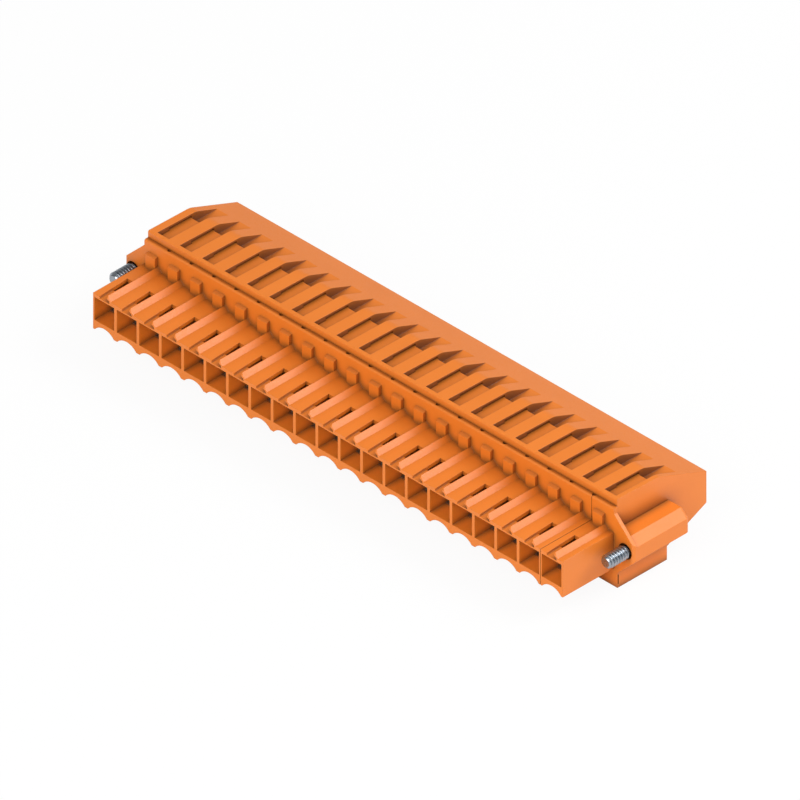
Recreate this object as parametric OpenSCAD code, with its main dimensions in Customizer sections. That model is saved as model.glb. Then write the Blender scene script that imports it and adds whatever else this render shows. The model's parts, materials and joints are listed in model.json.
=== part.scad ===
// Pluggable female terminal block for a printed board header: one row of poles, a release pusher and a
// clamp spring for each, and a captive screw in a flange at each end.
// X runs along the row, Y from the mating face to the wire entries, Z up from the underside.

/* [Row] */
// Number of poles in the row
pole_count = 21; // [3:1:24]
// Distance from one pole to the next
pole_pitch = 5.08; // [5:0.02:5.2]

/* [Mating shell] */
// Depth of the mating shell, from its front face to the step wall
shell_depth = 11.65; // [10.8:0.05:14]
// Height of the shell's feet above the underside
shell_base_z = 3.5; // [3:0.1:4]
// Height of the shell from its feet to its roof
shell_height = 7; // [6.9:0.1:8]
// Thickness of the web between two cavities
web_thick = 0.6; // [0.5:0.05:0.7]
// Thickness of the roof over a cavity
roof_thick = 0.72; // [0.7:0.02:0.8]
// Thickness of the floor under a cavity, at the crown of its arch
floor_thick = 0.79; // [0.7:0.01:0.9]
// Rise of the arch under each pole
arch_rise = 1.05; // [0.8:0.05:1.15]
// Width of the foot between two arches
foot_width = 0.74; // [0.5:0.02:1]

/* [Coding rib] */
// Distance from a pole's left edge to the upright side of its rib
rib_x = 3.1; // [3:0.05:3.2]
// Width of the rib
rib_width = 0.86; // [0.7:0.02:1.2]
// Height of the rib above the roof
rib_height = 0.83; // [0.6:0.01:1]
// Length of the coding recess, from the front face
recess_length = 3.2; // [2.5:0.1:4]
// Depth of the coding recess
recess_depth = 0.45; // [0.3:0.01:0.5]
// Width of the undercut beside the recess, below the rib
undercut_width = 0.5; // [0.2:0.05:0.8]
// Rise of the undercut's ceiling towards the recess
undercut_rise = 0.3; // [0.2:0.02:0.34]
// Distance from the front face to the rear end of the coding slot
slot_end = 6.7; // [6:0.1:8]
// Distance from a pole's left edge to the slot's left side, at the front face
slot_x_front = 1.45; // [1.3:0.05:1.6]
// Distance from a pole's left edge to the slot's left side, at the slot's rear end
slot_x_rear = 1.08; // [0.9:0.02:1.2]

/* [Step wall] */
// Thickness of the step wall
wall_thick = 0.78; // [0.7:0.01:1.1]
// Height of the step wall above the underside
wall_height = 15.2; // [14.8:0.1:15.4]
// Radius of the step wall's upper front edge
wall_edge_r = 0.35; // [0.2:0.05:0.5]
// Distance from a pole's left edge to its stop peg
peg_x = 0.9; // [0.8:0.05:1]
// Width of the stop peg
peg_width = 2.16; // [1.9:0.02:2.2]
// Distance that the peg stands out of the step wall
peg_depth = 0.7; // [0.5:0.05:0.8]
// Height of the peg's front face above the roof
peg_height = 2.55; // [2:0.05:2.8]
// Rise of the peg's sloping top
peg_slope = 0.25; // [0.1:0.05:0.4]
// Diameter of the dimple in the groove between two poles
dimple_d = 0.8; // [0.6:0.05:1]
// Depth of the dimple
dimple_depth = 0.9; // [0.4:0.05:1.2]

/* [Rear housing] */
// Depth of the whole block, from the front face to the wire entries
total_depth = 32.7; // [32:0.1:35]
// Height of the rear housing's top, at its front edge
top_front_z = 16.55; // [16.4:0.05:16.8]
// Height of the rear housing's top, at its bend
top_bend_z = 16.32; // [16:0.02:16.4]
// Distance from the front face to the bend in the top
bend_y = 21.9; // [21.6:0.1:22.5]
// Radius of the bend in the top
bend_r = 4; // [2:0.5:8]
// Height of the rear face's upper edge
rear_top_z = 12.1; // [12:0.1:12.8]
// Height of the rear face's lower edge
rear_bottom_z = 5.95; // [5.4:0.05:6.2]
// Distance from the front face to the start of the slanting underside
slant_y = 19.8; // [19:0.1:21]
// Distance of the rear housing's ends from the ends of the shell
end_relief = 0.05; // [0.03:0.01:0.2]
// Radius of the rear housing's upper front edge
top_edge_r = 0.3; // [0.2:0.05:0.4]

/* [Pusher pockets] */
// Distance from a pole's left edge to its pocket
pocket_x = 1.5; // [1.4:0.02:1.6]
// Width of a pocket
pocket_width = 2.64; // [2.5:0.02:2.7]
// Thickness of the rim between a pocket and the rear housing's front face
pocket_rim = 0.67; // [0.6:0.01:0.8]
// Length of a pusher
pusher_length = 7.7; // [7.4:0.1:7.8]
// Height of a pusher's top above the underside
pusher_top_z = 15.6; // [15.4:0.05:15.8]
// Height of a pusher's foot above the underside
pusher_foot_z = 11.2; // [11.15:0.05:11.4]
// Height of the rail on a pusher's left side
rail_height = 0.8; // [0.6:0.05:1]
// Running clearance on each side of a pusher
pusher_clear = 0.08; // [0.05:0.01:0.1]
// Travel of a pusher when it opens its clamp
pusher_travel = 1; // [0.8:0.05:1]
// Length of the flush stretch at the front of a pocket's left side
flush_length = 2.66; // [2.2:0.02:3]
// Depth of the guide groove in a pocket's left side
guide_depth = 0.28; // [0.2:0.02:0.35]
// Thickness of the lip over the guide groove
guide_lip = 0.35; // [0.25:0.05:0.5]
// Height of the tool ramp's floor behind a pusher
ramp_z = 14.45; // [14.4:0.05:14.8]

/* [Wire entries] */
// Width of a wire entry's mouth
entry_mouth_w = 3.6; // [3.2:0.1:3.8]
// Height of a wire entry's mouth
entry_mouth_h = 3.9; // [3.4:0.1:4]
// Width of a wire entry's straight part
entry_bore_w = 2.8; // [2.5:0.1:3]
// Height of a wire entry's straight part
entry_bore_h = 2.4; // [2.1:0.1:2.4]
// Length of a wire entry's funnel
entry_funnel = 2.6; // [2:0.1:3]
// Distance that a clamp chamber reaches behind its pusher's shaft
chamber_reach = 3.4; // [3.2:0.1:3.8]
// Wall left between a clamp chamber and the next pole's
chamber_wall = 1.9; // [1.8:0.02:2]
// Height of a clamp chamber's ceiling above the underside
chamber_top_z = 13; // [12.9:0.05:13.2]

/* [Contacts] */
// Width of the busbar
busbar_width = 2.7; // [2.4:0.05:2.8]
// Thickness of the busbar
busbar_thick = 0.5; // [0.4:0.05:0.6]
// Height of the busbar's upper face above the underside
busbar_z = 8.45; // [8.3:0.05:8.5]
// Distance from the front face to the contact's arms
contact_front = 4.35; // [4.3:0.05:4.6]
// Thickness of the contact's arms
arm_thick = 0.35; // [0.3:0.05:0.4]
// Height of the contact's arms
arm_height = 2.6; // [2.2:0.1:3]
// Length of the flared tip of the arms
tip_length = 1.1; // [0.8:0.1:1.4]
// Distance by which each tip flares out
tip_flare = 0.45; // [0.3:0.05:0.5]
// Distance between the arms where they grip the pin
arm_gap = 0.8; // [0.6:0.05:0.9]
// Distance from the front face to the floor plate of the contact's cage
cage_front = 3.55; // [3:0.05:3.8]
// Length of the floor plate that stands in front of the cage's sides
cage_lip = 0.7; // [0.4:0.05:0.8]
// Thickness of the cage's sheet
cage_thick = 0.2; // [0.15:0.01:0.2]
// Clearance between the cage and its cavity
cage_clear = 0.02; // [0.01:0.01:0.03]
// Clearance round the busbar where it passes the step wall
busbar_clear = 0.1; // [0.05:0.01:0.15]

/* [Clamp springs] */
// Width of a clamp spring
spring_width = 2.4; // [2.2:0.05:2.5]
// Thickness of the spring strip
spring_thick = 0.35; // [0.3:0.05:0.4]
// Inner radius of the spring's bend
spring_bend_r = 0.7; // [0.6:0.05:0.75]
// Slope of the clamping leg
leg_angle = 23; // [22:0.5:25]
// Length of the spring's upper leg, under the chamber's ceiling
upper_leg = 2; // [1.5:0.05:2]

/* [Screw flanges] */
// Distance from the row's end to the flange's outer side
flange_width = 4.44; // [4.3:0.02:4.8]
// Width of the plate's root, where it joins the step wall
plate_root = 0.5; // [0.3:0.05:1]
// Thickness of the flange plate
plate_thick = 0.7; // [0.6:0.02:0.74]
// Height of the flange plate's upper corner above the underside
plate_top_z = 14.1; // [13.6:0.1:14.4]
// Height of the screw axis above the underside
screw_z = 8.06; // [8:0.02:8.2]
// Width of the cheek beside the rear housing
cheek_width = 0.78; // [0.7:0.02:1]
// Distance from the front face to the cheek's rear end
cheek_end = 22.9; // [22:0.05:23.4]
// Distance from the front face to the boss's rear end
boss_end = 24.4; // [23.9:0.1:25]
// Height of the flange's lower corner above the underside
flange_low_z = 6.6; // [6.4:0.05:6.8]
// Height of the boss's flat top above the screw axis
boss_rise = 2.79; // [2.6:0.01:2.9]
// Length of the slanting facets of the boss, measured along X
boss_facet = 1.5; // [1.2:0.05:1.6]
// Radius round the boss's rear end
boss_edge_r = 0.7; // [0.5:0.05:0.8]
// Depth of the slit in the cheek's front corner
slit_depth = 0.4; // [0.3:0.05:0.5]
// Width of the slit
slit_width = 0.23; // [0.15:0.01:0.3]
// Length of the slit
slit_length = 1.85; // [1.5:0.05:2]
// Radius of the plate's outer edge
plate_edge_r = 0.6; // [0.3:0.05:0.65]

/* [Flange screws] */
// Outer diameter of the screw thread
thread_d = 2.5; // [2.2:0.1:2.6]
// Diameter of the screw's plain shank
shank_d = 2; // [1.8:0.05:2.1]
// Diameter of the screw head
head_d = 3; // [2.8:0.05:3.1]
// Length of the screw head
head_length = 2.6; // [2:0.1:3]
// Distance from the boss's rear end to the head
head_recess = 2; // [1.6:0.1:2.2]
// Width of the slot in the screw head
drive_width = 0.6; // [0.5:0.05:0.8]
// Depth of the slot in the screw head
drive_depth = 0.9; // [0.6:0.05:1.2]
// Distance that the thread stands out of the flange plate
thread_out = 4.55; // [3.5:0.05:6]
// Clearance round the thread in the flange plate
thread_clear = 0.2; // [0.1:0.02:0.24]
// Running clearance round the shank and the head
shank_clear = 0.07; // [0.03:0.01:0.1]

/* [Hidden] */
$fn = 48;
over = 1;              // how far a cutting shape runs past the face that it opens
nib = 0.1;             // how far a shape runs into the one that it joins
rest_gap = 0.05;       // gap between faces that all but touch
joint_gap = 0.1;       // gap at the parting line of the two shells
row_half = pole_count * pole_pitch / 2;
roof_z = shell_base_z + shell_height;
cavity_width = pole_pitch - web_thick;
cavity_top_z = roof_z - roof_thick;
cavity_floor_z = shell_base_z + arch_rise + floor_thick;
wall_back = shell_depth + wall_thick;
seam_x = row_half - pole_pitch;
pocket_y = wall_back + pocket_rim;
guide_y = pocket_y + flush_length;
pusher_y = pocket_y + pusher_clear;
pusher_back = pusher_y + pusher_length;
shaft_back = pusher_back + 2 * pusher_clear;
chamber_width = pole_pitch - chamber_wall;
chamber_mid = pole_pitch / 2;
chamber_back = shaft_back + chamber_reach;
chamber_floor_z = busbar_z - busbar_thick;
entry_z = busbar_z + entry_bore_h / 2;
bend_outer_r = spring_bend_r + spring_thick;
bend_mid = [chamber_back - bend_outer_r - 2 * rest_gap, chamber_top_z - bend_outer_r];
post_r = spring_bend_r - rest_gap;
rail_bottom_z = pusher_top_z - rail_height;
groove_bottom_z = rail_bottom_z - pusher_travel - rest_gap;
fork_root_y = shell_depth - 1.6;
busbar_end_gap = 0.3;  // gap behind the busbar's end
edge_bevel = 0.35;     // bevel across the front ends of the ribs
bend_steps = 8;        // straight lengths that make up the bend in the rear housing's top
screw_x = row_half + pole_pitch / 2;
thread_tip = shell_depth - thread_out;
thread_end = shell_depth + rest_gap;
thread_bore_end = wall_back + 1.1;
head_seat = boss_end - head_recess - head_length;

function numbered(name, i) = str(name, i < 10 ? "0" : "", i);
// left edge of pole i, counted from 1
function pole_x(i) = -row_half + (i - 1) * pole_pitch;

// the object stands with the middle of its depth on the Y origin
module placed() {
    translate([0, -total_depth / 2, 0]) children();
}

// a profile drawn in X and Z, carried along Y from y0 to y1
module along_y(y0, y1) {
    translate([0, y1, 0])
        rotate([90, 0, 0])
            linear_extrude(y1 - y0) children();
}

// a profile drawn in Y and Z, carried along X from x0 to x1
module along_x(x0, x1) {
    translate([x0, 0, 0])
        rotate([90, 0, 90])
            linear_extrude(x1 - x0) children();
}

// a rectangle between two corners
module box_2d(a, b) {
    translate(a) square(b - a);
}

// a block between two corners
module block(a, b) {
    translate(a) cube(b - a);
}

// ---- shells ----

// section of the mating shell for poles a to b: arched floor, square cavities, one rib a pole
module shell_section(a, b) {
    chord = pole_pitch - foot_width;
    arch_r = (chord * chord / 4 + arch_rise * arch_rise) / (2 * arch_rise);
    difference() {
        union() {
            box_2d([pole_x(a), shell_base_z], [pole_x(b + 1), roof_z]);
            for (i = [a:b])
                translate([pole_x(i) + rib_x, roof_z])
                    polygon([[0, -roof_thick / 2], [0, rib_height], [rib_width, 0],
                             [rib_width, -roof_thick / 2]]);
        }
        for (i = [a:b]) {
            translate([pole_x(i) + pole_pitch / 2, shell_base_z + arch_rise - arch_r])
                circle(arch_r, $fn = 96);
            box_2d([pole_x(i) + web_thick / 2, cavity_floor_z],
                   [pole_x(i) + web_thick / 2 + cavity_width, cavity_top_z]);
        }
    }
}

// plan of the coding slot's opening from y0 to y1, its left side slanting
module slot_plan(i, y0, y1) {
    lean = (slot_x_rear - slot_x_front) / slot_end;
    polygon([[pole_x(i) + slot_x_front + lean * y0, y0], [pole_x(i) + rib_x, y0],
             [pole_x(i) + rib_x, y1], [pole_x(i) + slot_x_front + lean * y1, y1]]);
}

// recess at the front of each rib, the undercut below the rib and the slot behind the recess
module coding_cuts(a, b) {
    recess_z = roof_z - recess_depth;
    translate([0, 0, recess_z])
        linear_extrude(recess_depth + over)
            for (i = [a:b]) slot_plan(i, -over, recess_length);
    translate([0, 0, cavity_top_z - over])
        linear_extrude(roof_thick + 2 * over)
            for (i = [a:b]) slot_plan(i, recess_length, slot_end);
    along_y(-over, recess_length)
        for (i = [a:b])
            translate([pole_x(i) + rib_x, recess_z])
                polygon([[-nib, 0], [undercut_width + nib, 0], [undercut_width, recess_depth],
                         [0, recess_depth + undercut_rise], [-nib, recess_depth + undercut_rise]]);
}

// the step wall from x0 to x1, with its rounded upper front edge
module step_wall(x0, x1) {
    along_x(x0, x1) {
        box_2d([shell_depth, 0], [wall_back, wall_height - wall_edge_r]);
        box_2d([shell_depth + wall_edge_r, 0], [wall_back, wall_height]);
        translate([shell_depth + wall_edge_r, wall_height - wall_edge_r]) circle(wall_edge_r);
    }
}

// stop peg of pole i, standing on the roof against the step wall
module stop_peg(i) {
    front = shell_depth - peg_depth;
    along_x(pole_x(i) + peg_x, pole_x(i) + peg_x + peg_width)
        polygon([[front, roof_z - roof_thick / 2], [front, roof_z + peg_height],
                 [shell_depth, roof_z + peg_height + peg_slope], [shell_depth + wall_thick / 2, roof_z]]);
}

// passage of pole i's busbar through the step wall
module busbar_passage(i) {
    mid = pole_x(i) + chamber_mid;
    passage_half = busbar_width / 2 + busbar_clear;
    block([mid - passage_half, shell_depth - over, busbar_z - busbar_thick - busbar_clear],
          [mid + passage_half, wall_back + over, busbar_z + busbar_clear]);
}

// mating shell and step wall of poles a to b, without a flange
module shell_body(a, b) {
    difference() {
        union() {
            along_y(0, shell_depth) shell_section(a, b);
            step_wall(pole_x(a), pole_x(b + 1));
            for (i = [a:b]) stop_peg(i);
        }
        coding_cuts(a, b);
        for (i = [a:b]) busbar_passage(i);
        for (i = [max(a, 2):min(b + 1, pole_count)])
            translate([pole_x(i), wall_back - nib, wall_height - dimple_depth])
                cylinder(d = dimple_d, h = dimple_depth + over);
        rib_top_z = roof_z + rib_height;
        along_x(pole_x(a) - over, pole_x(b + 1) + over)
            polygon([[-over, rib_top_z - edge_bevel], [0, rib_top_z - edge_bevel], [edge_bevel, rib_top_z],
                     [edge_bevel, rib_top_z + over], [-over, rib_top_z + over]]);
    }
}

// cutter that rounds an upright edge whose corner is at the origin, with the material towards -X and -Y
module edge_round(r) {
    reach = 4 * boss_edge_r + boss_rise;
    translate([-r, -r, -reach])
        difference() {
            cube([r + over, r + over, 2 * reach]);
            translate([0, 0, -over]) cylinder(r = r, h = 2 * (reach + over));
        }
}

// screw flange at the right end of the row: plate, faceted boss, cheek beside the rear housing
module flange() {
    facet_z = plate_top_z - flange_width;
    boss_top_z = screw_z + boss_rise;
    boss_low_z = flange_low_z - boss_facet;
    cheek_z = flange_low_z - (flange_width - cheek_width);
    difference() {
        translate([row_half, 0, 0]) {
            along_y(shell_depth, shell_depth + plate_thick)
                polygon([[-plate_root, 0], [cheek_width, 0], [cheek_width, cheek_z],
                         [flange_width, flange_low_z], [flange_width, facet_z], [0, plate_top_z],
                         [-plate_root, plate_top_z]]);
            along_y(shell_depth, cheek_end)
                polygon([[0, 0], [cheek_width, 0], [cheek_width, cheek_z], [flange_width, flange_low_z],
                         [flange_width, boss_top_z - boss_facet], [flange_width - boss_facet, boss_top_z],
                         [0, boss_top_z]]);
            along_y(cheek_end, boss_end)
                polygon([[0, boss_low_z], [flange_width - boss_facet, boss_low_z],
                         [flange_width, flange_low_z], [flange_width, boss_top_z - boss_facet],
                         [flange_width - boss_facet, boss_top_z], [0, boss_top_z]]);
        }
        // bores for the captive screw: thread, shank and head
        translate([screw_x, 0, screw_z]) rotate([-90, 0, 0]) {
            translate([0, 0, shell_depth - over])
                cylinder(r = thread_d / 2 + thread_clear, h = thread_bore_end - shell_depth + over);
            cylinder(r = shank_d / 2 + shank_clear, h = boss_end + over);
            translate([0, 0, head_seat])
                cylinder(r = head_d / 2 + shank_clear, h = boss_end - head_seat + over);
        }
        // slit in the cheek's front corner
        slit_y = shell_depth + 0.07;
        slit_top = cheek_z - 0.39;
        block([row_half + cheek_width - slit_depth, slit_y, slit_top - slit_length],
              [row_half + cheek_width + over, slit_y + slit_width, slit_top]);
        // rounded outer edge of the plate
        translate([row_half + flange_width, shell_depth, screw_z])
            mirror([0, 1, 0]) edge_round(plate_edge_r);
        // rounded edges of the boss's rear end: outer side, upper facet, top and lower facet
        facet_mid = (boss_top_z - screw_z + flange_width - pole_pitch / 2 - boss_facet) / sqrt(2);
        lower_mid = (screw_z - flange_low_z + flange_width - pole_pitch / 2) / sqrt(2);
        side_mid = flange_width - pole_pitch / 2;
        for (face = [[0, side_mid], [45, facet_mid], [90, boss_rise], [-45, lower_mid]])
            translate([screw_x, boss_end, screw_z])
                rotate([0, -face[0], 0])
                    translate([face[1], 0, 0]) edge_round(boss_edge_r);
    }
}

module front_shell() {
    color("darkorange") placed() {
        difference() {
            shell_body(1, pole_count - 1);
            block([seam_x - joint_gap / 2, -over, -over],
                  [seam_x + over, wall_back + over, wall_height + over]);
        }
        mirror([1, 0, 0]) flange();
    }
}

module end_shell() {
    color("darkorange") placed() {
        difference() {
            shell_body(pole_count, pole_count);
            block([seam_x - over, -over, -over],
                  [seam_x + joint_gap / 2, wall_back + over, wall_height + over]);
        }
        flange();
    }
}

// ---- rear housing ----

// side outline of the rear housing; an arc tangent to both slopes of the top rounds the bend between them
module rear_outline() {
    front_turn = atan((top_front_z - top_bend_z) / (bend_y - wall_back));
    rear_turn = atan((top_bend_z - rear_top_z) / (total_depth - bend_y));
    tangent = bend_r * tan((rear_turn - front_turn) / 2);
    arc_mid = [bend_y - tangent * cos(front_turn) - bend_r * sin(front_turn),
               top_bend_z + tangent * sin(front_turn) - bend_r * cos(front_turn)];
    arc = [for (k = [0:bend_steps])
        let (turn = 90 - rear_turn + k / bend_steps * (rear_turn - front_turn))
        arc_mid + bend_r * [cos(turn), sin(turn)]];
    difference() {
        polygon(concat([[wall_back, 0], [slant_y, 0], [total_depth, rear_bottom_z],
                        [total_depth, rear_top_z]], arc, [[wall_back, top_front_z]]));
        translate([wall_back, top_front_z - top_edge_r])
            difference() {
                translate([-over, 0]) square([over + top_edge_r, top_edge_r + over]);
                translate([top_edge_r, 0]) circle(top_edge_r);
            }
    }
}

// side outline of what one pusher pocket takes out: the shaft, the clamp chamber and the tool ramp
module pocket_outline() {
    box_2d([pocket_y, chamber_top_z - over], [shaft_back, top_front_z + over]);
    box_2d([shaft_back - nib, ramp_z], [total_depth, top_front_z + over]);
}

// straight part and funnel of a wire entry seen from one side, about a middle line
module funnel_plan(mid, bore, mouth) {
    funnel_y = total_depth - entry_funnel;
    entry_y = chamber_back - nib;
    polygon([[entry_y, mid - bore / 2], [funnel_y, mid - bore / 2], [total_depth, mid - mouth / 2],
             [total_depth + over, mid - mouth / 2], [total_depth + over, mid + mouth / 2],
             [total_depth, mid + mouth / 2], [funnel_y, mid + bore / 2], [entry_y, mid + bore / 2]]);
}

// wire entry of pole i
module wire_entry(i) {
    mid = pole_x(i) + chamber_mid;
    intersection() {
        along_x(mid - entry_mouth_w, mid + entry_mouth_w)
            funnel_plan(entry_z, entry_bore_h, entry_mouth_h);
        linear_extrude(top_front_z)
            mirror([1, -1, 0]) funnel_plan(mid, entry_bore_w, entry_mouth_w);
    }
}

// clamp chamber of pole i round the post of its spring, and the channel that the busbar lies in
module clamp_chamber(i) {
    mid = pole_x(i) + chamber_mid;
    along_x(mid - chamber_width / 2, mid + chamber_width / 2)
        difference() {
            box_2d([pocket_y, chamber_floor_z], [chamber_back, chamber_top_z]);
            translate(bend_mid) circle(post_r);
        }
    channel = busbar_width / 2 + busbar_clear;
    block([mid - channel, wall_back - over, chamber_floor_z],
          [mid + channel, pocket_y + over, busbar_z + busbar_clear]);
}

// guide groove in the left side of pocket i, under a lip that follows the sloping top
module guide_groove(i) {
    fall = (top_front_z - top_bend_z) / (bend_y - wall_back);
    lip_z = top_front_z - guide_lip;
    groove_back = pusher_back + pusher_clear;
    along_x(pole_x(i) + pocket_x - guide_depth, pole_x(i) + pocket_x + nib)
        polygon([[guide_y, groove_bottom_z], [groove_back, groove_bottom_z],
                 [groove_back, lip_z - fall * (groove_back - wall_back)],
                 [guide_y, lip_z - fall * (guide_y - wall_back)]]);
}

module rear_housing() {
    color("darkorange") placed()
        difference() {
            along_x(-row_half + end_relief, row_half - end_relief) rear_outline();
            for (i = [1:pole_count]) {
                along_x(pole_x(i) + pocket_x, pole_x(i) + pocket_x + pocket_width) pocket_outline();
                guide_groove(i);
                clamp_chamber(i);
                wire_entry(i);
            }
        }
}

// ---- pushers ----

// pusher of pole i: a block whose foot stands over the clamp spring, with a rail that runs in the guide
// groove
module pusher(i) {
    x0 = pole_x(i) + pocket_x + pusher_clear;
    x1 = pole_x(i) + pocket_x + pocket_width - pusher_clear;
    bevel = 0.12;
    toe_length = 1.6;
    toe_z = pusher_foot_z + toe_length;
    foot_start = 4;
    heel_bevel = 0.6;
    color("orange") placed() {
        along_x(x0, x1)
            polygon([[pusher_y, pusher_top_z], [pusher_y, toe_z], [pusher_y + toe_length, toe_z],
                     [pusher_y + foot_start, pusher_foot_z], [pusher_back - heel_bevel, pusher_foot_z],
                     [pusher_back, pusher_foot_z + heel_bevel], [pusher_back, pusher_top_z - bevel],
                     [pusher_back - bevel, pusher_top_z]]);
        block([x0 - guide_depth, guide_y + pusher_clear, rail_bottom_z],
              [x0 + nib, pusher_back, pusher_top_z]);
    }
}

// ---- contacts ----

// one arm of the fork, in plan: it leans in to the pin and flares at its tip
module fork_arm() {
    root_x = busbar_width / 2 - arm_thick;
    root_end = fork_root_y + 1.1;
    grip_x = arm_gap / 2;
    grip_y = contact_front + tip_length;
    tip_x = grip_x + tip_flare;
    polygon([[tip_x, contact_front], [grip_x, grip_y], [root_x, fork_root_y], [root_x, root_end],
             [root_x + arm_thick, root_end], [root_x + arm_thick, fork_root_y],
             [grip_x + arm_thick, grip_y], [tip_x + arm_thick, contact_front]]);
}

// contact of pole i: a busbar under the clamp spring, two fork arms that grip the pin of the header, and
// a cage open at the top that lines the cavity
module contact(i) {
    mid = pole_x(i) + chamber_mid;
    arm_z = (cavity_floor_z + cavity_top_z - arm_height) / 2;
    bar_z = busbar_z - busbar_thick;
    cage_half = cavity_width / 2 - cage_clear;
    cage_z = cavity_floor_z + cage_clear;
    cage_back = fork_root_y + cage_thick;
    color("silver") placed()
        translate([mid, 0, 0]) {
            block([-busbar_width / 2, fork_root_y, bar_z],
                  [busbar_width / 2, chamber_back - busbar_end_gap, busbar_z]);
            for (side = [0, 1])
                mirror([side, 0, 0]) {
                    translate([0, 0, arm_z])
                        linear_extrude(arm_height) fork_arm();
                    block([cage_half - cage_thick, cage_front + cage_lip, cage_z],
                          [cage_half, cage_back, bar_z]);
                }
            block([-cage_half, cage_front, cage_z], [cage_half, cage_back, cage_z + cage_thick]);
            block([-cage_half, cage_back - cage_thick, cage_z], [cage_half, cage_back, busbar_z]);
        }
}

// ---- clamp springs ----

// side outline of a clamp spring: upper leg, round bend, and clamping leg down to the busbar
module spring_outline() {
    drop = bend_mid[1] - busbar_z;
    leg_length = (drop - bend_outer_r * cos(leg_angle)) / sin(leg_angle);
    reach = 2 * bend_outer_r;
    translate(bend_mid) {
        difference() {
            circle(bend_outer_r);
            circle(spring_bend_r);
            polygon([[0, 0], [0, reach], [-reach, reach], [-reach, -reach],
                     [reach * sin(leg_angle), -reach * cos(leg_angle)]]);
        }
        translate([-upper_leg, spring_bend_r]) square([upper_leg, spring_thick]);
        rotate(leg_angle) translate([-leg_length, -bend_outer_r]) square([leg_length, spring_thick]);
    }
}

module clamp_springs() {
    color("lightgray") placed()
        for (i = [1:pole_count])
            along_x(pole_x(i) + chamber_mid - spring_width / 2, pole_x(i) + chamber_mid + spring_width / 2)
                spring_outline();
}

// ---- flange screws ----

// captive screw at the right end: thread, plain shank and slotted head
module flange_screw() {
    tip_bevel = 0.25;
    head_y = head_seat + rest_gap;
    difference() {
        translate([screw_x, 0, screw_z]) rotate([-90, 0, 0]) {
            translate([0, 0, thread_tip])
                cylinder(r1 = thread_d / 2 - tip_bevel, r2 = thread_d / 2, h = tip_bevel);
            translate([0, 0, thread_tip + tip_bevel])
                cylinder(d = thread_d, h = thread_end - thread_tip - tip_bevel);
            translate([0, 0, thread_end]) cylinder(d = shank_d, h = head_y - thread_end);
            translate([0, 0, head_y]) cylinder(d = head_d, h = head_length);
        }
        block([screw_x - head_d, head_y + head_length - drive_depth, screw_z - drive_width / 2],
              [screw_x + head_d, head_y + head_length + over, screw_z + drive_width / 2]);
    }
}

module flange_screw_left() {
    color("silver") placed() mirror([1, 0, 0]) flange_screw();
}

module flange_screw_right() {
    color("silver") placed() flange_screw();
}

front_shell();
end_shell();
rear_housing();
clamp_springs();
flange_screw_left();
flange_screw_right();
for (i = [1:pole_count])
    pusher(i);
for (i = [1:pole_count])
    contact(i);
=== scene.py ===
"""Looks of a pluggable terminal block: moulded orange plastic, tinned contacts and zinc-plated flange screws."""

import json
import math

import bpy
import numpy as np
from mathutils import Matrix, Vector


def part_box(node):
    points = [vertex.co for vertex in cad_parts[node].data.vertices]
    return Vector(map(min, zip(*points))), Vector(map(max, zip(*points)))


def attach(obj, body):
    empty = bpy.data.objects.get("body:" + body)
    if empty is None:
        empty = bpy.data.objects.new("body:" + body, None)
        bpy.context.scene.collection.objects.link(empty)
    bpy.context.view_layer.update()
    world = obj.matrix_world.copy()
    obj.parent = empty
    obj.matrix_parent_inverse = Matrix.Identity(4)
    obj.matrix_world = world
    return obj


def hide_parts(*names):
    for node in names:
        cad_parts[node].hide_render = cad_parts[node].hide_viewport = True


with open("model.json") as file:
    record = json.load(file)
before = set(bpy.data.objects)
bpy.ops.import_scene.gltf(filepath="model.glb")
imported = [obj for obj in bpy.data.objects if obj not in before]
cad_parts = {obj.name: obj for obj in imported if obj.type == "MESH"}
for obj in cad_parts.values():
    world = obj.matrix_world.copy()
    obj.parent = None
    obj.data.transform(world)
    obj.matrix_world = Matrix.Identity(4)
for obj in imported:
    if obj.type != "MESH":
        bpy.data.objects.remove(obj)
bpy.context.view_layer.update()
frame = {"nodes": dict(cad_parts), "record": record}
MM = 0.001

# ---------------------------------------------------------------- materials


def linear(code):
    """sRGB hex to linear RGBA: each channel c becomes ((c + 0.055) / 1.055) ** 2.4, or c / 12.92 when dark."""
    c = np.array([int(code[i:i + 2], 16) for i in (1, 3, 5)]) / 255
    c = np.where(c <= 0.04045, c / 12.92, ((c + 0.055) / 1.055) ** 2.4)
    return (*c.tolist(), 1.0)


def add(tree, kind, settings=None, **sockets):
    """Adds one node: settings go to its own properties, and sockets are given as name=value or name=output to link."""
    made = tree.nodes.new(kind)
    for key, value in (settings or {}).items():
        setattr(made, key, value)
    for key, value in sockets.items():
        place = made.inputs[int(key[1:])] if key[0] == "_" and key[1:].isdigit() else made.inputs[key.replace("_", " ")]
        if isinstance(value, bpy.types.NodeSocket):
            tree.links.new(value, place)
        else:
            place.default_value = value
    return made


def new_material(name):
    """An empty node material with its output, its Object coordinates and its principled shader."""
    made = bpy.data.materials.new(name)
    made.use_nodes = True
    made.node_tree.nodes.clear()
    tree = made.node_tree
    place = add(tree, "ShaderNodeTexCoord").outputs["Object"]
    shader = add(tree, "ShaderNodeBsdfPrincipled")
    add(tree, "ShaderNodeOutputMaterial", Surface=shader.outputs[0])
    return made, tree, place, shader


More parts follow.
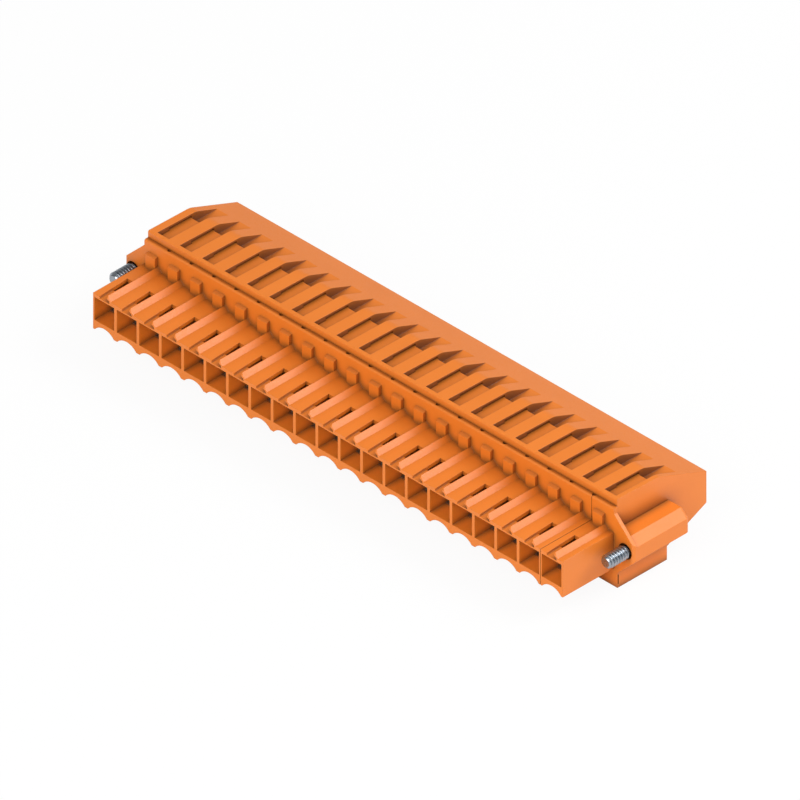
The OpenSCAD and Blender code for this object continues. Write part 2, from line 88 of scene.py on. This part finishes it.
def moulded_plastic(name, base, shade, painted_shade_colour, painted_shade_mm, painted_shade_share, roughness, edge_mm, offset=0.0):
    """Glass-filled polyester from an injection mould. The spark-eroded mould leaves a fine dull grain about 0.12 mm
    across, drawn a little coarser so that it shows; resin flow leaves a faint mottle some millimetres wide; and every
    edge is broken by a small radius that catches the light. Narrow recesses, corners and gaps get painted shade: an
    ambient occlusion mask mixes the colour towards a dark brown wherever other walls stand within a few millimetres."""
    made, tree, place, shader = new_material(name)
    moved = add(tree, "ShaderNodeMapping", Vector=place, Location=(offset, offset, 0.0)).outputs[0]
    mottle = add(tree, "ShaderNodeTexNoise", Vector=moved, Scale=1 / (6 * MM), Detail=3.0, Roughness=0.55)
    grain = add(tree, "ShaderNodeTexNoise", Vector=moved, Scale=1 / (0.22 * MM), Detail=2.0, Roughness=0.5)
    tone = add(tree, "ShaderNodeMapRange", Value=mottle.outputs[0], From_Min=0.3, From_Max=0.7)
    flat = add(tree, "ShaderNodeMix", {"data_type": "RGBA"}, _0=tone.outputs[0], _6=linear(shade), _7=linear(base))
    # painted shade: an ambient occlusion mask darkens the colour towards the dark shade colour in recesses, corners and
    # gaps
    shade_occlusion = add(tree, "ShaderNodeAmbientOcclusion", {"samples": 8}, Distance=painted_shade_mm * MM)
    painted_shade_mix = add(tree, "ShaderNodeMapRange", Value=shade_occlusion.outputs["AO"], From_Min=0.45, From_Max=0.95,
                To_Min=painted_shade_share, To_Max=0.0)
    colour = add(tree, "ShaderNodeMix", {"data_type": "RGBA"}, _0=painted_shade_mix.outputs[0], _6=flat.outputs[2],
                 _7=linear(painted_shade_colour))
    gloss = add(tree, "ShaderNodeMapRange", Value=grain.outputs[0], From_Min=0.35, From_Max=0.65,
                To_Min=roughness - 0.05, To_Max=roughness + 0.05)
    edge = add(tree, "ShaderNodeBevel", {"samples": 4}, Radius=edge_mm * MM)
    relief = add(tree, "ShaderNodeBump", Height=grain.outputs[0], Distance=0.004 * MM, Strength=0.6,
                 Normal=edge.outputs[0])
    tree.links.new(colour.outputs[2], shader.inputs["Base Color"])
    tree.links.new(gloss.outputs[0], shader.inputs["Roughness"])
    tree.links.new(relief.outputs[0], shader.inputs["Normal"])
    shader.inputs["IOR"].default_value = 1.5
    return made


def stamped_metal(name, base, shade, roughness, grain_mm):
    """Strip metal, rolled and then plated: fine streaks run along the strip, and the plating is slightly cloudy."""
    made, tree, place, shader = new_material(name)
    along = add(tree, "ShaderNodeMapping", Vector=place, Scale=(1.0, 0.05, 1.0)).outputs[0]
    streak = add(tree, "ShaderNodeTexNoise", Vector=along, Scale=1 / (grain_mm * MM), Detail=2.0)
    cloud = add(tree, "ShaderNodeTexNoise", Vector=place, Scale=1 / (1.5 * MM), Detail=2.0)
    tone = add(tree, "ShaderNodeMapRange", Value=cloud.outputs[0], From_Min=0.3, From_Max=0.7)
    colour = add(tree, "ShaderNodeMix", {"data_type": "RGBA"}, _0=tone.outputs[0], _6=linear(shade), _7=linear(base))
    gloss = add(tree, "ShaderNodeMapRange", Value=streak.outputs[0], From_Min=0.3, From_Max=0.7,
                To_Min=roughness - 0.06, To_Max=roughness + 0.06)
    relief = add(tree, "ShaderNodeBump", Height=streak.outputs[0], Distance=0.003 * MM, Strength=0.5)
    tree.links.new(colour.outputs[2], shader.inputs["Base Color"])
    tree.links.new(gloss.outputs[0], shader.inputs["Roughness"])
    tree.links.new(relief.outputs[0], shader.inputs["Normal"])
    shader.inputs["Metallic"].default_value = 1.0
    return made


# The third colour of each plastic is painted shade: the dark brown that the ambient occlusion mask mixes into recesses,
# corners and gaps, with its reach in mm and its share after it.
shell_plastic = moulded_plastic("moulded_polyester_shell", "#e67d25", "#e27a22", "#7c4a1c", 1.6, 0.85, 0.42, 0.12)
rear_plastic = moulded_plastic("moulded_polyester_rear", "#e67d25", "#e27a22", "#6a3814", 3.5, 0.9, 0.42, 0.12, 0.007)
pusher_plastic = moulded_plastic("moulded_polyester_pusher", "#e27922", "#de751f", "#7c4a1c", 3.0, 0.8, 0.40, 0.10, 0.013)
tinned_copper = stamped_metal("tinned_copper_strip", "#b9b9b4", "#a6a6a2", 0.32, 0.08)
spring_steel = stamped_metal("rolled_spring_steel", "#9a9b9b", "#868889", 0.30, 0.05)
zinc_steel = stamped_metal("zinc_plated_steel", "#aeb4ba", "#98a0a8", 0.28, 0.10)

FINISH = {"front_shell": shell_plastic, "end_shell": shell_plastic, "rear_housing": rear_plastic, "pusher_plastic": pusher_plastic, "tinned_copper": tinned_copper,
          "spring_steel": spring_steel, "zinc_steel": zinc_steel}
for part in frame["record"]["subparts"]:
    solid = frame["nodes"][part["node"]]
    solid.data.materials.clear()
    solid.data.materials.append(FINISH.get(part["node"]) or FINISH[part["material_slot"]])

# ---------------------------------------------------------------- flange screws

THREAD_PITCH = 0.58 * MM
CREST_R = 1.25 * MM
ROOT_R = 0.88 * MM
SHANK_R = 1.0 * MM
HEAD_R = 1.5 * MM
THREAD_LENGTH = 4.6 * MM
HEAD_LENGTH = 2.6 * MM
DRIVE_DEPTH = 0.9 * MM
DRIVE_HALF = 0.3 * MM
AROUND = 64


def closed_mesh(name, points, quads, loops):
    """A mesh object from vertices, a face array of quads, and further faces given as vertex lists."""
    mesh = bpy.data.meshes.new(name)
    mesh.from_pydata(points.tolist(), [], quads.tolist() + [list(loop) for loop in loops])
    mesh.validate()
    made = bpy.data.objects.new(name, mesh)
    bpy.context.collection.objects.link(made)
    return made


def rings_to_faces(rows, around, first=0):
    """Quads between neighbouring rings: ring i's point j joins ring i + 1's, with the last point next to the first."""
    i, j = np.meshgrid(np.arange(rows - 1), np.arange(around), indexing="ij")
    k = (j + 1) % around
    return first + np.stack([i * around + j, i * around + k, (i + 1) * around + k, (i + 1) * around + j], -1).reshape(-1, 4)


def flange_screw(name, node, body):
    """A captive screw as one closed surface r(s, t) round its axis, where s runs along the screw and t round it. On the
    thread r swings between root and crest as a flat-topped wave of s / pitch - t / (2 pi), so the crest climbs one
    pitch a turn; a 45 degree cone cuts its tip. Shank and head keep r constant, and the head ends in two half discs
    beside the screwdriver slot."""
    low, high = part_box(node)
    axis_x, axis_z = (low.x + high.x) / 2, (low.z + high.z) / 2
    t = np.arange(AROUND) * 2 * math.pi / AROUND
    s = np.linspace(0, THREAD_LENGTH, 170)[:, None]
    wave = np.abs((s / THREAD_PITCH - t / (2 * math.pi)) % 1 - 0.5) * 2
    r = ROOT_R + (CREST_R - ROOT_R) * np.clip(wave * 1.5 - 0.3, 0, 1)
    r = np.minimum(r, 0.85 * MM + s)
    end = np.clip((THREAD_LENGTH - s) / (0.5 * MM), 0, 1)
    r = SHANK_R + (r - SHANK_R) * end
    slot_floor = high.y - DRIVE_DEPTH - low.y
    head_start = high.y - HEAD_LENGTH - low.y
    bevel = 0.12 * MM
    plain = [(0, 0.0001 * MM), (head_start, SHANK_R), (head_start, HEAD_R - bevel), (head_start + bevel, HEAD_R),
             (slot_floor, HEAD_R), (slot_floor, 0.0001 * MM)]
    s_rows = np.concatenate([np.zeros((1, AROUND)), np.broadcast_to(s, r.shape),
                             np.array([[p[0]] * AROUND for p in plain[1:]])])
    r_rows = np.concatenate([np.full((1, AROUND), plain[0][1]), r, np.array([[p[1]] * AROUND for p in plain[1:]])])
    points = np.stack([axis_x + r_rows * np.sin(t), low.y + s_rows, axis_z + r_rows * np.cos(t)], -1).reshape(-1, 3)
    rows = len(s_rows)
    faces = [rings_to_faces(rows, AROUND)]
    loops = [range(AROUND - 1, -1, -1), range((rows - 1) * AROUND, rows * AROUND)]
    # the two half discs: an arc closed by its chord, carried from below the slot's floor to the bevelled end
    turn = math.asin(DRIVE_HALF / HEAD_R)
    arc = np.linspace(turn, math.pi - turn, 24)
    for side in (1, -1):
        half = []
        for height, inset in ((slot_floor - 0.2 * MM, 0.02 * MM), (high.y - low.y - bevel, 0), (high.y - low.y, bevel)):
            radius = HEAD_R - inset
            x = radius * np.cos(arc)
            z = np.maximum(radius * np.sin(arc), DRIVE_HALF)
            half.append(np.stack([axis_x + side * x, np.full_like(x, low.y + height), axis_z + side * z], -1))
        first = len(points)
        points = np.concatenate([points, np.concatenate(half)])
        faces.append(rings_to_faces(3, len(arc), first)[:, ::-1])
        loops.append(range(first, first + len(arc)))
        loops.append(range(first + 3 * len(arc) - 1, first + 2 * len(arc) - 1, -1))
    made = closed_mesh(name, points, np.concatenate(faces), loops)
    made.data.shade_smooth()
    made.data.set_sharp_from_angle(angle=math.radians(35))
    made.data.materials.append(zinc_steel)
    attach(made, body)
    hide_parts(node)
    return made


flange_screw("threaded_screw_left", "flange_screw_left", "body_screw_left")
flange_screw("threaded_screw_right", "flange_screw_right", "body_screw_right")

# ---------------------------------------------------------------- room, light and camera


def studio_white(name, base, share):
    """Matt white board. Seen by the camera it is mostly plain white, and the rest of it takes the object's shadow."""
    made = bpy.data.materials.new(name)
    made.use_nodes = True
    tree = made.node_tree
    tree.nodes.clear()
    path = add(tree, "ShaderNodeLightPath")
    part = add(tree, "ShaderNodeMath", {"operation": "MULTIPLY"}, _0=path.outputs["Is Camera Ray"], _1=share)
    board = add(tree, "ShaderNodeBsdfDiffuse", Color=linear(base))
    white = add(tree, "ShaderNodeEmission", Color=(1, 1, 1, 1), Strength=1.0)
    both = add(tree, "ShaderNodeMixShader", _0=part.outputs[0], _1=board.outputs[0], _2=white.outputs[0])
    add(tree, "ShaderNodeOutputMaterial", Surface=both.outputs[0])
    return made


def floor_board(half):
    """A flat square of side 2 * half at z = 0."""
    points = np.array([[-half, -half, 0], [half, -half, 0], [half, half, 0], [-half, half, 0]])
    made = closed_mesh("floor", points, np.array([[0, 1, 2, 3]]), [])
    made.data.materials.append(studio_white("white_board", "#ececec", 0.93))


def softbox(name, place, target, size, watts):
    """A square area lamp at place, turned towards target."""
    lamp = bpy.data.lights.new(name, "AREA")
    lamp.shape = "SQUARE"
    lamp.size = size
    lamp.energy = watts
    made = bpy.data.objects.new(name, lamp)
    bpy.context.collection.objects.link(made)
    away = np.array(target) - np.array(place)
    made.location = place
    made.rotation_euler = Vector(away).to_track_quat("-Z", "Y").to_euler()


def dome(strength, mirrored):
    """Even white light from all round, dimmer in reflections, and plain white where the camera looks past the floor."""
    world = bpy.data.worlds.new("white_dome")
    bpy.context.scene.world = world
    world.use_nodes = True
    tree = world.node_tree
    tree.nodes.clear()
    path = add(tree, "ShaderNodeLightPath")
    shine = add(tree, "ShaderNodeMapRange", Value=path.outputs["Is Glossy Ray"], To_Min=strength, To_Max=mirrored)
    level = add(tree, "ShaderNodeMapRange", Value=path.outputs["Is Camera Ray"], To_Min=shine.outputs[0], To_Max=1.0)
    sky = add(tree, "ShaderNodeBackground", Color=(1, 1, 1, 1), Strength=level.outputs[0])
    add(tree, "ShaderNodeOutputWorld", Surface=sky.outputs[0])


floor_board(1.5)
dome(0.50, 0.28)
softbox("softbox_rear_right", (0.30, 0.36, 0.46), (0, 0, 0), 0.35, 2.6)
softbox("softbox_front", (0.20, -0.52, 0.36), (0, 0, 0), 0.5, 2.8)

CAMERA_AZIMUTH = math.radians(45)
CAMERA_ELEVATION = math.radians(35)
CAMERA_TARGET = np.array([0.00068, -0.00065, 0.0084])
camera = bpy.data.cameras.new("camera")
camera.type = "ORTHO"
camera.ortho_scale = 0.1285
camera.clip_start, camera.clip_end = 0.01, 10
viewer = bpy.data.objects.new("camera", camera)
bpy.context.collection.objects.link(viewer)
towards = np.array([math.sin(CAMERA_AZIMUTH) * math.cos(CAMERA_ELEVATION),
                    -math.cos(CAMERA_AZIMUTH) * math.cos(CAMERA_ELEVATION), math.sin(CAMERA_ELEVATION)])
viewer.location = CAMERA_TARGET + 0.5 * towards
viewer.rotation_euler = Vector(-towards).to_track_quat("-Z", "Y").to_euler()
bpy.context.scene.camera = viewer
bpy.context.scene.view_settings.view_transform = "Standard"
